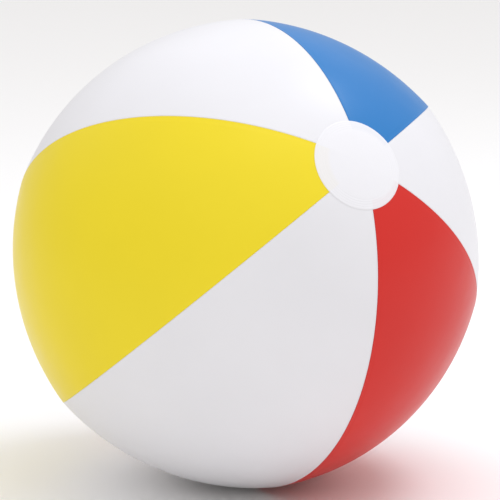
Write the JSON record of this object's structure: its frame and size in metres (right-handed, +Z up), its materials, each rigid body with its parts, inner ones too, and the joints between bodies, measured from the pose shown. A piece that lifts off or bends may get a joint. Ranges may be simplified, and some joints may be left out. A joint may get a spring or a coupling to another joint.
{
  "type": "inflatable beach ball",
  "caption": "Inflated round beach ball of welded vinyl film panels in white, yellow, red and blue, with a round patch at each pole and a push-in air valve with a tethered plug.",
  "frame": {"origin": "point on the ground below the ball's centre, at the foot of the standing ball", "axes": "+Z up; the front pole faces -Y and is tilted 30 degrees up; the valve is at the rear pole, which faces +Y and is tilted 30 degrees down; +X is to the right when the ball is seen from -Y"},
  "size_m": [0.3832, 0.3878, 0.3877],
  "materials": {
    "vinyl_white": "calendered PVC film, opaque white, glossy",
    "vinyl_yellow": "calendered PVC film, printed yellow, glossy",
    "vinyl_red": "calendered PVC film, printed red, glossy",
    "vinyl_blue": "calendered PVC film, printed blue, glossy",
    "vinyl_disc": "white PVC film patch, ring-welded at its rim",
    "valve_vinyl": "soft injection-moulded PVC, milky, satin"
  },
  "bodies": {
    "ball": {"panel_blue": "vinyl_blue", "panel_white_upper": "vinyl_white", "panel_yellow": "vinyl_yellow", "panel_white_lower": "vinyl_white", "panel_red": "vinyl_red", "panel_white_side": "vinyl_white", "front_disc": "vinyl_disc", "rear_disc": "vinyl_disc", "valve_base": "valve_vinyl"},
    "stem": {"valve_stem": "valve_vinyl"},
    "flap": {"check_flap": "valve_vinyl"},
    "plug": {"valve_plug": "valve_vinyl", "tether_strap": "valve_vinyl"}
  },
  "joints": [
    {"name": "stem_slide", "type": "slide", "parent": "ball", "child": "stem", "axis": [0, 0.866, -0.5], "range_m": [0, 0.014]},
    {"name": "plug_pull", "type": "slide", "parent": "stem", "child": "plug", "axis": [0, 0.866, -0.5], "range_m": [0, 0.011]},
    {"name": "flap_hinge", "type": "hinge", "parent": "stem", "child": "flap", "pos_m": [0, 0.15275, 0.11329], "axis": [-1, 0, 0], "range_deg": [0, 50], "stiffness_Nm_per_rad": 0.0001}
  ]
}
